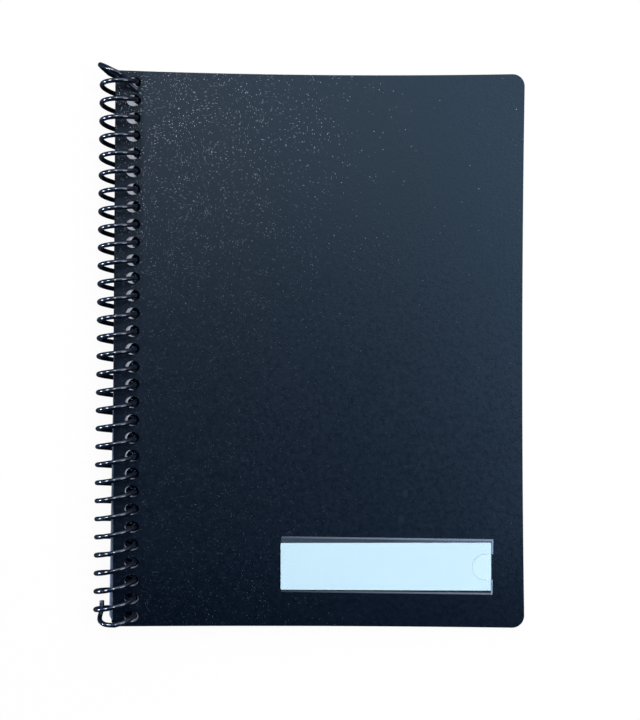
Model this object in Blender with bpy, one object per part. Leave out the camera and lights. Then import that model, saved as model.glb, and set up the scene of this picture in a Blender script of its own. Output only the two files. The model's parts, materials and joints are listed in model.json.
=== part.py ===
# Marching band folder: two black covers and seven clear music sleeves, bound on one plastic
# spiral coil, with a clear name pocket on the front cover. It lies closed, on its coil and on
# the fore edge of its back cover: X runs from the spine to the fore edge, Y up the spine.

import bmesh
import bpy
import numpy as np
from math import asin, atan, atan2, cos, hypot, pi, radians, sin, sqrt, tan

MM = 0.001

# Coil
PITCH = 6.29 * MM  # four holes to the inch
WIRE_DIAMETER = 1.65 * MM
COIL_DIAMETER = 14.3 * MM  # over the outside of the turns
TURN_POINTS = 10
TAIL_POINTS = 6

# Punched row
HOLE_DIAMETER = 4.5 * MM
COVER_HOLE_SIDES = 12
SLEEVE_HOLE_SIDES = 8

# Covers: both are the same punched blank, the back one turned end for end
COVER_HEIGHT = 197.1 * MM
COVER_WIDTH = 145.0 * MM
COVER_THICKNESS = 0.8 * MM
COVER_CORNER_RADIUS = 4.5 * MM
COVER_SPINE_MARGIN = 6.5 * MM  # spine edge to the middle of the holes
COVER_TOP_MARGIN = 5.1 * MM  # top edge to the middle of the first hole
COVER_BOTTOM_MARGIN = 3.2 * MM  # least distance from the last hole to the bottom edge
FRONT_COVER_LEVEL = 0.3 * MM  # middle of the front cover, from the coil's axis

# Sleeves: a punched rear film and a front film, open at the top
SLEEVES = 7
FILM_THICKNESS = 0.08 * MM
POCKET_GAP = 0.08 * MM  # room for a sheet of music when the sleeve is empty
LEAF_GAP = 0.12 * MM  # between one leaf and the next
LAST_LEAF_GAP = 0.75 * MM  # under the last sleeve, whose spine edge swings past the back cover
SLEEVE_SPINE_MARGIN = 7.3 * MM
SLEEVE_FORE_SETBACK = 4.0 * MM  # how much narrower than a cover
SLEEVE_TOP_SETBACK = 0.6 * MM  # how much shorter than a cover, at the top
SLEEVE_BOTTOM_SETBACK = 0.9 * MM
SLEEVE_CORNER_RADIUS = 3.5 * MM
BINDING_STRIP = 12.5 * MM  # spine edge to the weld line beside the holes
MOUTH_SETBACK = 3.0 * MM  # the front film ends below the rear film

# How the leaves turn: the coil rolls half as far as the front cover
OPEN_ANGLE = 180.0
COIL_SHARE = 0.5
SLEEVE_LAG = 0.012  # each sleeve turns this share less than the leaf before it

# Where the wire lies across its holes, as shares of the play: leaves hang a little askew
FRONT_COVER_DRIFT = (-0.6, -0.2)  # at the top hole and the bottom hole
FIRST_SLEEVE_DRIFT = (0.5, -0.35)
LAST_SLEEVE_DRIFT = (0.5, 0.1)
BACK_COVER_DRIFT = (0.0, 0.0)

# Coil ends
TOP_TAIL_START = radians(-162)
TOP_TAIL_END = radians(-234)
TOP_TAIL_RISE = 1.8 * MM
TOP_TAIL_FALL = 2.8 * MM
BOTTOM_TAIL_START = radians(126)
BOTTOM_TAIL_END = radians(195)
BOTTOM_TAIL_DIP = 1.0 * MM
BOTTOM_TAIL_RISE = 3.0 * MM

# Name pocket
POCKET_WIDTH = 75.5 * MM
POCKET_HEIGHT = 19.7 * MM
POCKET_FORE_MARGIN = 10.5 * MM  # cover's fore edge to the pocket's open end
POCKET_BOTTOM_MARGIN = 11.2 * MM
POCKET_SKEW = radians(-0.7)
POCKET_FILM = 0.15 * MM
POCKET_SEAM = 0.6 * MM  # welded edge along the top and the bottom
POCKET_END_SEAM = 0.3 * MM  # welded edge at the closed end
POCKET_SEAT = 0.05 * MM  # between the cover, the films and the card
NOTCH_WIDTH = 9.5 * MM
NOTCH_DEPTH = 7.8 * MM
CARD_WIDTH = 74.4 * MM
CARD_HEIGHT = 16.9 * MM
CARD_THICKNESS = 0.3 * MM
CARD_SKEW = radians(0.9)
CARD_END_PLAY = 0.2 * MM

ARC_STEPS = 5

coil_radius = (COIL_DIAMETER - WIRE_DIAMETER) / 2
mean_radius = coil_radius * (1 + cos(pi / TURN_POINTS)) / 2  # of the turns' straight chords
hole_count = int((COVER_HEIGHT - COVER_TOP_MARGIN - COVER_BOTTOM_MARGIN) / PITCH) + 1
row_length = (hole_count - 1) * PITCH
last_hole_margin = COVER_HEIGHT - COVER_TOP_MARGIN - row_length
row_middle = COVER_HEIGHT / 2 - COVER_TOP_MARGIN - row_length / 2


def clear_scene():
    for leftover in list(bpy.data.objects):
        bpy.data.objects.remove(leftover, do_unlink=True)


def new_collection(name):
    collection = bpy.data.collections.new(name)
    bpy.context.scene.collection.children.link(collection)
    return collection


def new_material(name, colour, roughness, alpha=1.0):
    material = bpy.data.materials.new(name)
    material.use_nodes = True
    shader = material.node_tree.nodes["Principled BSDF"]
    shader.inputs["Base Color"].default_value = (*colour, 1.0)
    shader.inputs["Roughness"].default_value = roughness
    shader.inputs["Metallic"].default_value = 0.0
    shader.inputs["Alpha"].default_value = alpha
    return material


def new_empty(name, parent=None):
    empty = bpy.data.objects.new(name, None)
    empty.empty_display_size = 10 * MM
    empty.parent = parent
    folder.objects.link(empty)
    return empty


def arc(centre, radius, start, end):
    angles = np.linspace(radians(start), radians(end), ARC_STEPS + 1)
    return [(centre[0] + radius * cos(a), centre[1] + radius * sin(a)) for a in angles]


def polygon_hole(centre, diameter, sides):
    # the polygon stands round the true circle, so that its flats leave the whole bore free
    reach = diameter / 2 / cos(pi / sides)
    angles = [2 * pi * (i + 0.5) / sides for i in range(sides)]
    return [(centre[0] + reach * cos(a), centre[1] + reach * sin(a)) for a in angles]


def rounded_outline(left, bottom, right, top, fore_radius, spine_radius=0.0):
    points = arc((right - fore_radius, bottom + fore_radius), fore_radius, -90, 0)
    points += arc((right - fore_radius, top - fore_radius), fore_radius, 0, 90)
    if spine_radius:
        points += arc((left + spine_radius, top - spine_radius), spine_radius, 90, 180)
        points += arc((left + spine_radius, bottom + spine_radius), spine_radius, 180, 270)
    else:
        points += [(left, top), (left, bottom)]
    return points


def rectangle(half_width, half_height):
    signs = ((-1, 1), (-1, -1), (1, -1), (1, 1))
    return [(sx * half_width, sy * half_height) for sx, sy in signs]


def flat_sheet(name, outlines, thickness, material, parent, collection=None):
    curve = bpy.data.curves.new(name, "CURVE")
    curve.dimensions = "2D"
    curve.fill_mode = "BOTH"
    curve.extrude = thickness / 2
    for outline in outlines:
        spline = curve.splines.new("POLY")
        spline.points.add(len(outline) - 1)
        for point, (x, y) in zip(spline.points, outline):
            point.co = (x, y, 0.0, 1.0)
        spline.use_cyclic_u = True
    curve.materials.append(material)
    sheet = bpy.data.objects.new(name, curve)
    sheet.parent = parent
    (collection or folder).objects.link(sheet)
    return sheet


def as_mesh(curve_object):
    # a curve takes no Boolean, so its evaluated mesh stands in for it, with the caps welded on
    bpy.context.view_layer.update()
    graph = bpy.context.evaluated_depsgraph_get()
    mesh = bpy.data.meshes.new_from_object(curve_object.evaluated_get(graph))
    shape = bmesh.new()
    shape.from_mesh(mesh)
    bmesh.ops.remove_doubles(shape, verts=shape.verts, dist=0.001 * MM)
    bmesh.ops.recalc_face_normals(shape, faces=shape.faces)
    shape.to_mesh(mesh)
    shape.free()
    name = curve_object.name
    solid = bpy.data.objects.new(name + "_solid", mesh)
    solid.parent = curve_object.parent
    solid.location = curve_object.location
    solid.rotation_euler = curve_object.rotation_euler
    for owner in curve_object.users_collection:
        owner.objects.link(solid)
    bpy.data.objects.remove(curve_object, do_unlink=True)
    solid.name = name
    return solid


def crossing(level):
    # where the wire goes down through a flat leaf: how far from the axis, and how far up the spine
    side = sqrt(mean_radius**2 - level**2)
    return side, -PITCH * asin(level / mean_radius) / (2 * pi)


def wire_travel(turn_share):
    # how far the wire moves down its holes in a leaf that turns by this share of the full opening
    return PITCH * (turn_share - COIL_SHARE) * OPEN_ANGLE / 360


def side_play(level, thickness, lead):
    # the room that a slanting wire has across its hole, when it lies this far up or down it
    slant = asin(level / mean_radius)
    half_wire = WIRE_DIAMETER / 2 / cos(slant) + thickness / 2 * abs(tan(slant))
    up_play = (HOLE_DIAMETER - WIRE_DIAMETER) / 2
    return (HOLE_DIAMETER / 2 - half_wire) * sqrt(max(1 - (lead / up_play) ** 2, 0.0))


def seat_on_coil(sheet, level, thickness, turn_share, drift):
    # half the wire's travel lies above the middle of the holes and half below it
    side, rise = crossing(level)
    lead = wire_travel(turn_share) / 2
    play = side_play(level, thickness, lead)
    top_shift, bottom_shift = (share * play for share in drift)
    middle_shift = (top_shift + bottom_shift) / 2
    sheet.location = (side + middle_shift, row_middle + rise - lead - front_rise, level)
    sheet.rotation_euler.z = -atan((top_shift - bottom_shift) / row_length)


def cover_outlines(top_margin, bottom_margin):
    left = -COVER_SPINE_MARGIN
    outline = rounded_outline(
        left, -row_length / 2 - bottom_margin, left + COVER_WIDTH, row_length / 2 + top_margin,
        COVER_CORNER_RADIUS,
    )
    return [outline] + hole_row(COVER_HOLE_SIDES)


def hole_row(sides):
    places = [row_length / 2 - i * PITCH for i in range(hole_count)]
    return [polygon_hole((0.0, y), HOLE_DIAMETER, sides) for y in places]


def make_sleeve(number, level, drift):
    # level is the top of the front film; the rear film carries the punched binding strip
    name = f"sleeve_{number}"
    hinge = new_empty(f"{name}_hinge", spine)
    left = -SLEEVE_SPINE_MARGIN
    right = left + COVER_WIDTH - SLEEVE_FORE_SETBACK
    bottom = -row_length / 2 - last_hole_margin + SLEEVE_BOTTOM_SETBACK
    top = row_length / 2 + COVER_TOP_MARGIN - SLEEVE_TOP_SETBACK
    rear_outline = rounded_outline(left, bottom, right, top, SLEEVE_CORNER_RADIUS, SLEEVE_CORNER_RADIUS)
    front_outline = rounded_outline(
        left + BINDING_STRIP, bottom, right, top - MOUTH_SETBACK, SLEEVE_CORNER_RADIUS,
    )
    rear_outlines = [rear_outline] + hole_row(SLEEVE_HOLE_SIDES)
    rear = flat_sheet(f"{name}_rear_film", rear_outlines, FILM_THICKNESS, clear_film, hinge)
    front = flat_sheet(f"{name}_front_film", [front_outline], FILM_THICKNESS, clear_film, hinge)
    rear_level = level - FILM_THICKNESS - POCKET_GAP - FILM_THICKNESS / 2
    seat_on_coil(rear, rear_level, FILM_THICKNESS, 1 - SLEEVE_LAG * number, drift)
    front.location = rear.location
    front.location.z = level - FILM_THICKNESS / 2
    front.rotation_euler = rear.rotation_euler


def make_name_pocket(cover):
    # the backing is stuck on the cover; the window is welded to it on three sides, open to the right
    pocket = new_empty("name_pocket", cover)
    fore_edge = COVER_WIDTH - COVER_SPINE_MARGIN
    bottom_edge = -row_length / 2 - last_hole_margin
    pocket.location = (
        fore_edge - POCKET_FORE_MARGIN - POCKET_WIDTH / 2,
        bottom_edge + POCKET_BOTTOM_MARGIN + POCKET_HEIGHT / 2,
        COVER_THICKNESS / 2,
    )
    pocket.rotation_euler.z = POCKET_SKEW
    half_width, half_height = POCKET_WIDTH / 2, POCKET_HEIGHT / 2
    corners = rectangle(half_width, half_height)
    backing = flat_sheet("pocket_backing", [corners], POCKET_FILM, clear_film, pocket)
    backing_top = POCKET_SEAT + POCKET_FILM
    backing.location.z = backing_top - POCKET_FILM / 2

    card_bottom = backing_top + POCKET_SEAT
    half_card = (CARD_WIDTH / 2, CARD_HEIGHT / 2)
    card = flat_sheet("name_card", [rectangle(*half_card)], CARD_THICKNESS, paper, pocket)
    card_reach = half_card[0] * cos(CARD_SKEW) + half_card[1] * abs(sin(CARD_SKEW))
    card.location = (
        -half_width + POCKET_END_SEAM + CARD_END_PLAY + card_reach,
        0.0,
        card_bottom + CARD_THICKNESS / 2,
    )
    card.rotation_euler.z = CARD_SKEW

    notch_radius = NOTCH_WIDTH / 2
    notch = arc((half_width - NOTCH_DEPTH + notch_radius, 0.0), notch_radius, 270, 90)
    window_outline = corners[:3] + [(half_width, -notch_radius)] + notch
    window_outline += [(half_width, notch_radius), corners[3]]
    wall = CARD_THICKNESS + POCKET_SEAT
    window_depth = wall + POCKET_FILM
    window = flat_sheet("pocket_window", [window_outline], window_depth, clear_film, pocket)
    window.location.z = card_bottom + window_depth / 2
    window = as_mesh(window)
    hollow_width = POCKET_WIDTH - POCKET_END_SEAM
    overrun = 1 * MM  # past the open end
    bpy.ops.mesh.primitive_cube_add(size=1.0)
    hollow = bpy.context.object
    hollow.name = "card_hollow"
    hollow.parent = pocket
    hollow.dimensions = (hollow_width + overrun, POCKET_HEIGHT - 2 * POCKET_SEAM, 2 * wall)
    hollow.location = (
        -half_width + POCKET_END_SEAM + (hollow_width + overrun) / 2,
        0.0,
        card_bottom,
    )
    for owner in hollow.users_collection:
        owner.objects.unlink(hollow)
    cutters.objects.link(hollow)
    hollow.hide_render = True
    hollow.display_type = "WIRE"
    cut = window.modifiers.new("card_hollow", "BOOLEAN")
    cut.operation = "DIFFERENCE"
    cut.object = hollow


def helix_point(angle, rise=0.0):
    # angle 0 is the first hole, and the wire goes down the spine as it comes over the front
    height = first_wire - PITCH * angle / (2 * pi) + rise
    return np.array((coil_radius * cos(angle), height, coil_radius * sin(angle)))


def coil_path():
    last_hole = 2 * pi * (hole_count - 1)
    top = []
    for share in np.linspace(1.0, 0.0, TAIL_POINTS):
        angle = TOP_TAIL_START + share * (TOP_TAIL_END - TOP_TAIL_START)
        rise = TOP_TAIL_RISE * sin(pi * share) ** 2 - TOP_TAIL_FALL * share**3
        top.append(helix_point(angle, rise))
    turned = last_hole + BOTTOM_TAIL_START - TOP_TAIL_START
    steps = round(turned / (2 * pi) * TURN_POINTS)
    body = [helix_point(TOP_TAIL_START + turned * i / steps) for i in range(1, steps)]
    bottom = []
    for share in np.linspace(0.0, 1.0, TAIL_POINTS):
        angle = last_hole + BOTTOM_TAIL_START + share * (BOTTOM_TAIL_END - BOTTOM_TAIL_START)
        rise = BOTTOM_TAIL_RISE * share**2 - BOTTOM_TAIL_DIP * sin(pi * share) ** 2
        bottom.append(helix_point(angle, rise))
    path = top + body + bottom
    # each cut end runs straight for one wire diameter
    for end, before, place in ((path[0], path[1], 0), (path[-1], path[-2], len(path) + 1)):
        along = (end - before) / np.linalg.norm(end - before)
        path.insert(place, end + along * WIRE_DIAMETER)
    return path


def least_gap(path):
    # the smallest clear distance between stretches of the wire that are half a turn or more apart
    points = np.array(path)
    shares = np.linspace(0, 1, 6, endpoint=False)[:, None]
    fine = np.concatenate([a + shares * (b - a) for a, b in zip(points, points[1:])])
    along = np.concatenate([[0], np.cumsum(np.linalg.norm(np.diff(fine, axis=0), axis=1))])
    apart = pi * coil_radius
    least = np.inf
    for i in range(len(fine)):
        far = along > along[i] + apart
        if far.any():
            least = min(least, np.linalg.norm(fine[far] - fine[i], axis=1).min())
    return least - WIRE_DIAMETER


def make_coil():
    path = coil_path()
    print(f"spiral_coil: least gap to itself {least_gap(path) / MM:.2f} mm")
    curve = bpy.data.curves.new("spiral_coil", "CURVE")
    curve.dimensions = "3D"
    curve.bevel_depth = WIRE_DIAMETER / 2
    curve.bevel_resolution = 1
    curve.use_fill_caps = True
    spline = curve.splines.new("POLY")
    spline.points.add(len(path) - 1)
    for point, place in zip(spline.points, path):
        point.co = (*place, 1.0)
    curve.materials.append(coil_plastic)
    coil = bpy.data.objects.new("spiral_coil", curve)
    coil.location = spine.location
    folder.objects.link(coil)


clear_scene()
folder = new_collection("marching_band_folder")
cutters = new_collection("cutters")
cover_plastic = new_material("grained_black_polypropylene", (0.012, 0.016, 0.022), 0.5)
coil_plastic = new_material("glossy_black_plastic", (0.008, 0.009, 0.012), 0.18)
clear_film = new_material("clear_film", (0.85, 0.91, 0.95), 0.15, alpha=0.35)
paper = new_material("pale_card", (0.6, 0.8, 0.93), 0.7)

# levels of the leaves, from the coil's axis down
leaf_pitch = 2 * FILM_THICKNESS + POCKET_GAP + LEAF_GAP
first_sleeve_level = FRONT_COVER_LEVEL - COVER_THICKNESS / 2 - LEAF_GAP
stack_bottom = first_sleeve_level - SLEEVES * leaf_pitch + LEAF_GAP
back_cover_level = stack_bottom - LAST_LEAF_GAP - COVER_THICKNESS / 2
back_cover_face = back_cover_level - COVER_THICKNESS / 2

# the wire's place up the spine is set from the front cover, whose holes lie on row_middle
front_rise = crossing(FRONT_COVER_LEVEL)[1] - wire_travel(1.0) / 2
first_wire = row_middle + row_length / 2 - front_rise

# the leaves tilt about the coil until the back cover's fore edge meets the table
axis_height = COIL_DIAMETER / 2
fore_reach = crossing(back_cover_level)[0] - COVER_SPINE_MARGIN + COVER_WIDTH
tilt = asin(axis_height / hypot(fore_reach, back_cover_face)) - atan2(-back_cover_face, fore_reach)
spine = new_empty("spine")
spine.location = (-(fore_reach - COIL_DIAMETER / 2) / 2, 0.0, axis_height)
spine.rotation_euler.y = tilt

front_hinge = new_empty("front_cover_hinge", spine)
front_outlines = cover_outlines(COVER_TOP_MARGIN, last_hole_margin)
front_cover = flat_sheet("front_cover", front_outlines, COVER_THICKNESS, cover_plastic, front_hinge)
seat_on_coil(front_cover, FRONT_COVER_LEVEL, COVER_THICKNESS, 1.0, FRONT_COVER_DRIFT)
make_name_pocket(front_cover)

for number in range(1, SLEEVES + 1):
    depth = (number - 1) / max(SLEEVES - 1, 1)
    drift = [a + depth * (b - a) for a, b in zip(FIRST_SLEEVE_DRIFT, LAST_SLEEVE_DRIFT)]
    make_sleeve(number, first_sleeve_level - (number - 1) * leaf_pitch, drift)

back_outlines = cover_outlines(last_hole_margin, COVER_TOP_MARGIN)
back_cover = flat_sheet("back_cover", back_outlines, COVER_THICKNESS, cover_plastic, spine)
seat_on_coil(back_cover, back_cover_level, COVER_THICKNESS, 0.0, BACK_COVER_DRIFT)

make_coil()
bpy.context.view_layer.update()
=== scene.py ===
# Marching band folder: the looks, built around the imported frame
import json
import math

import bmesh
import bpy
import numpy as np
from mathutils import Matrix, Vector


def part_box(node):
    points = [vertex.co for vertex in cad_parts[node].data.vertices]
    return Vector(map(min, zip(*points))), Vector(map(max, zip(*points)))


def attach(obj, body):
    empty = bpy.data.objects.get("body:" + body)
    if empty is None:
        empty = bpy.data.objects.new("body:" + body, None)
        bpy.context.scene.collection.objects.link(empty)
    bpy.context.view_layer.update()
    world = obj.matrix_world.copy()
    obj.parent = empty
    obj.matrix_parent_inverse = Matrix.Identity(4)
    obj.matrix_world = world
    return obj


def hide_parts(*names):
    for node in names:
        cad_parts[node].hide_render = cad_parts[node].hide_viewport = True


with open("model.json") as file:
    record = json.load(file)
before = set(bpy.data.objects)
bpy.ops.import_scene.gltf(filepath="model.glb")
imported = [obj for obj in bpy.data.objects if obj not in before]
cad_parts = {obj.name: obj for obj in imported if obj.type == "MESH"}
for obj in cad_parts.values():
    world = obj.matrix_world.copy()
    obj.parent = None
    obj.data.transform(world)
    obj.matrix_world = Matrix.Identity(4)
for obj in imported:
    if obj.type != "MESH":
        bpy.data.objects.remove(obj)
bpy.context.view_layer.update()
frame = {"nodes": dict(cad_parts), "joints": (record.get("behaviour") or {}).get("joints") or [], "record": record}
mm = 0.001
print("frame loaded:", len(frame["nodes"]), "nodes")

# the spine's own place: the coil's axis, and the slope that all leaves lie at
turnJoint = next(j for j in frame["joints"] if j["name"] == "front_cover_turn")
backFace = next(m for m in frame["record"]["mounts"] if m["name"] == "back_face")
coilAxis = Vector(turnJoint["pos_m"])
leafUp = -Vector(backFace["axis"])
spinePlace = Matrix.Translation(coilAxis) @ Matrix.Rotation(math.atan2(leafUp.x, leafUp.z), 4, "Y")
sleeveCount = sum(name.endswith("_rear_film") for name in frame["nodes"])


# reading the flat CAD nodes

reading = {
    "mergeGap": 0.002 * mm,
    "facingUp": 0.9,            # an upper face's normal points up by at least this share
    "levelGap": 0.01 * mm,      # and it lies no further than this under the top level
}


def rimLoops(nodeName):
    # loops of points round the upper face of a flat node, in the spine's place, and its two levels
    shape = bmesh.new()
    shape.from_mesh(frame["nodes"][nodeName].data)
    shape.transform(spinePlace.inverted())
    bmesh.ops.remove_doubles(shape, verts=shape.verts, dist=reading["mergeGap"])
    shape.normal_update()
    levels = [v.co.z for v in shape.verts]
    top = max(levels)
    upper = {f for f in shape.faces if f.normal.z > reading["facingUp"]
             and f.calc_center_median().z > top - reading["levelGap"]}
    steps = {}
    for face in upper:
        for loop in face.loops:
            if sum(f in upper for f in loop.edge.link_faces) == 1:
                steps[loop.vert] = loop.link_loop_next.vert
    loops = []
    while steps:
        vert, after = steps.popitem()
        ring = [vert.co.copy()]
        while after in steps:
            ring.append(after.co.copy())
            after = steps.pop(after)
        loops.append(np.array(ring))
    shape.free()
    loops.sort(key=lambda ring: -np.ptp(ring[:, 1]))
    return loops, min(levels), top


def sheetPlan(nodeName, like=None):
    # a sheet's place, with its own x away from the spine and y up the row of holes, and its sizes
    loops, low, high = rimLoops(nodeName)
    if like:
        middle, skew = like["middle"], like["skew"]
        holes, holeRadius = [], 0.0
    else:
        centres = sorted(((ring.min(0) + ring.max(0)) / 2 for ring in loops[1:]), key=lambda c: -c[1])
        first, last = centres[0], centres[-1]
        middle = (first + last) / 2
        skew = math.atan2(last[0] - first[0], first[1] - last[1])
        holes = [float(np.hypot(*(c - middle)[:2])) * (1 if c[1] > middle[1] else -1) for c in centres]
        edges = (loops[1] + np.roll(loops[1], 1, axis=0)) / 2
        holeRadius = float(np.linalg.norm(edges - edges.mean(0), axis=1).mean())
    turn = np.array(((math.cos(skew), -math.sin(skew)), (math.sin(skew), math.cos(skew))))
    flat = (loops[0][:, :2] - middle[:2]) @ turn
    spot = Matrix.Translation((middle[0], middle[1], (low + high) / 2)) @ Matrix.Rotation(skew, 4, "Z")
    return {
        "middle": middle, "skew": skew, "place": spinePlace @ spot, "thickness": high - low,
        "left": flat[:, 0].min(), "right": flat[:, 0].max(),
        "bottom": flat[:, 1].min(), "top": flat[:, 1].max(),
        "holes": holes, "holeRadius": holeRadius,
    }


# making flat pieces

sheetsOnly = bpy.data.collections.new("sheetsOnly")      # what the lamp under the floor shines on

punch = {
    "cover": (1.11, 0.91),      # shares of the CAD hole, across the spine and along it
    "backCover": (1.11, 0.96),
    "sleeve": (1.20, 1.02),
}

sheetMesh = {
    "cornerSteps": 12,
    "bevelSteps": 1,
    "mergeGap": 0.001 * mm,
    "sharpAngle": math.radians(50),
    "broadFace": 0.995,         # a broad face's normal points across the sheet by this share
}


def arcPoints(centre, radius, start, end, steps):
    angles = np.radians(np.linspace(start, end, steps + 1))
    return [(centre[0] + radius * math.cos(a), centre[1] + radius * math.sin(a)) for a in angles]


def roundedRectangle(left, bottom, right, top, foreRadius, spineRadius,
                     steps=sheetMesh["cornerSteps"]):
    points = arcPoints((right - foreRadius, bottom + foreRadius), foreRadius, -90, 0, steps)
    points += arcPoints((right - foreRadius, top - foreRadius), foreRadius, 0, 90, steps)
    points += arcPoints((left + spineRadius, top - spineRadius), spineRadius, 90, 180, steps)
    points += arcPoints((left + spineRadius, bottom + spineRadius), spineRadius, 180, 270, steps)
    return points


def punchedHoles(plan, sides, shares, shift):
    wide, high = (plan["holeRadius"] * share for share in shares)
    rings = []
    for y in plan["holes"]:
        dx, dy = shift(y / plan["holes"][0])
        ring = arcPoints((0.0, 0.0), 1.0, 0, 360, sides)[:-1]
        rings.append([(dx + wide * u, y + dy + high * v) for u, v in ring])
    return rings


def flatPiece(name, place, outlines, thickness, edgeRound, material):
    # a sheet with rounded edges, cut from 2D outlines: the first is the rim, the others are holes
    curve = bpy.data.curves.new(name, "CURVE")
    curve.dimensions = "2D"
    curve.fill_mode = "BOTH"
    curve.extrude = thickness / 2 - edgeRound
    curve.bevel_depth = edgeRound
    curve.bevel_resolution = sheetMesh["bevelSteps"]
    curve.offset = -edgeRound
    for outline in outlines:
        spline = curve.splines.new("POLY")
        spline.points.add(len(outline) - 1)
        for point, (x, y) in zip(spline.points, outline):
            point.co = (x, y, 0.0, 1.0)
        spline.use_cyclic_u = True
    holder = bpy.data.objects.new(name + "Curve", curve)
    bpy.context.scene.collection.objects.link(holder)
    bpy.context.view_layer.update()
    graph = bpy.context.evaluated_depsgraph_get()
    mesh = bpy.data.meshes.new_from_object(holder.evaluated_get(graph))
    bpy.data.objects.remove(holder, do_unlink=True)
    shape = bmesh.new()
    shape.from_mesh(mesh)
    bmesh.ops.remove_doubles(shape, verts=shape.verts, dist=sheetMesh["mergeGap"])
    bmesh.ops.recalc_face_normals(shape, faces=shape.faces)
    shape.to_mesh(mesh)
    shape.free()
    return finishedPiece(name, mesh, place, material)


def finishedPiece(name, mesh, place, material):
    mesh.name = name
    mesh.materials.clear()
    mesh.materials.append(material)
    mesh.shade_smooth()
    mesh.set_sharp_from_angle(angle=sheetMesh["sharpAngle"])
    for face in mesh.polygons:
        face.use_smooth = abs(face.normal.z) < sheetMesh["broadFace"]
    piece = bpy.data.objects.new(name, mesh)
    piece.matrix_world = place
    bpy.context.scene.collection.objects.link(piece)
    sheetsOnly.objects.link(piece)
    return piece


def settle(piece, body, slot, *nodes):
    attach(piece, body)
    if nodes:
        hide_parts(*nodes)


# materials

def startMaterial(name, colour, roughness, specular=0.5):
    material = bpy.data.materials.new(name)
    material.use_nodes = True
    shader = material.node_tree.nodes["Principled BSDF"]
    shader.inputs["Base Color"].default_value = (*colour, 1.0)
    shader.inputs["Roughness"].default_value = roughness
    shader.inputs["Specular IOR Level"].default_value = specular
    return material, material.node_tree, shader


def addNode(tree, kind, inputs=(), **settings):
    node = tree.nodes.new("ShaderNode" + kind)
    for key, value in settings.items():
        setattr(node, key, value)
    for key, value in dict(inputs).items():
        if isinstance(value, bpy.types.NodeSocket):
            tree.links.new(value, node.inputs[key])
        else:
            node.inputs[key].default_value = value
    return node


def mathNode(tree, operation, *values, clamp=False):
    node = addNode(tree, "Math", enumerate(values), operation=operation, use_clamp=clamp)
    return node.outputs[0]


def mapRange(tree, value, low, high, toLow=0.0, toHigh=1.0, smooth=False):
    node = addNode(tree, "MapRange", {"Value": value, "From Min": low, "From Max": high,
                                      "To Min": toLow, "To Max": toHigh})
    if smooth:
        node.interpolation_type = "SMOOTHSTEP"
    return node.outputs["Result"]


def mixColours(tree, share, first, second):
    node = addNode(tree, "Mix", data_type="RGBA")
    for socket, value in ((0, share), (6, first), (7, second)):
        if isinstance(value, bpy.types.NodeSocket):
            tree.links.new(value, node.inputs[socket])
        else:
            node.inputs[socket].default_value = (*value, 1.0)
    return node.outputs[2]


coverFinish = {
    "tone": (0.0004, 0.0016, 0.0064),
    "paleTone": (0.0009, 0.0024, 0.0082),
    # the sheen colours and runs below paint the lamps' reflection by place: a painted sheen that changes across
    # and down the cover, and painted shade that dulls it beside the coil and along the bottom
    "spinePaintedSheen": (0.54, 0.74, 1.0),
    "forePaintedSheen": (0.41, 0.69, 1.0),
    "lowPaintedSheen": (0.34, 0.60, 1.0),
    "specular": 0.535,
    "paintedSheenForeRun": (0.0, 130 * mm),             # from the holes to where the painted sheen is the fore edge's
    "paintedSheenLowRun": (60 * mm, -85 * mm),          # from the upper painted sheen to the low one
    "paintedShadeStrip": (4.2 * mm, 2.6 * mm),     # the painted shade strip beside the coil starts between these
    "paintedShadeSpineRun": (10 * mm, 75 * mm),         # and the painted shade deepens up the spine
    "paintedShadeSpineTop": 0.36,                      # painted shade: sheen taken away at its top
    "paintedShadeBottomRun": (-62 * mm, -98 * mm),
    "paintedShadeBottomEdge": 0.38,                        # painted shade: sheen taken away along the bottom edge
    "roughness": 0.37,
    "roughSpread": (-0.05, 0.06),
    "grainSize": 0.7 * mm,
    "pebbleSize": 1.6 * mm,
    "pebbleSpread": (0.3, 0.7),
    "grainDepth": 0.05 * mm,
    "grainStrength": 0.35,
    "cloudScale": 28.0,
    "cloudSpread": (0.35, 0.7),
    "paintedGlintCell": 0.36 * mm,
    "paintedGlintEdge": (0.10, 0.36),              # where a painted glint starts to fade and where it ends
    "paintedGlintShare": 0.165,
    "paintedGlintThickRun": (16 * mm, 97 * mm),         # where painted glints are thickest, and where few are left
    "paintedGlintLeast": 0.05,
    "paintedGlintThinning": 1.4,
    "patchScale": 150.0,
    "patchSpread": (0.35, 0.68),
    "patchShare": (0.4, 1.6),
    "paintedGlintHeightRun": (-10 * mm, 80 * mm),
    "paintedGlintHeightFall": 1.6,
    "paintedGlintStrength": (0.085, 0.42),             # usual strength of a painted glint, low on the cover and at its top
    "leastDraw": 0.02,                      # keeps the strongest painted glints in bounds
    "paintedGlintColour": (0.84, 0.92, 1.0),
    "lowPaintedGlintColour": (0.45, 0.72, 1.0),
    "smudges": ((97.0 * mm, -50.5 * mm), (95.6 * mm, -59.7 * mm)),
    "smudgeSize": (1.5 * mm, 2.3 * mm),
    "smudgeTone": (0.006, 0.008, 0.012),
    "smudgeEdge": (0.55, 1.0),
    "smudgeShare": 0.8,
}


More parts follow.
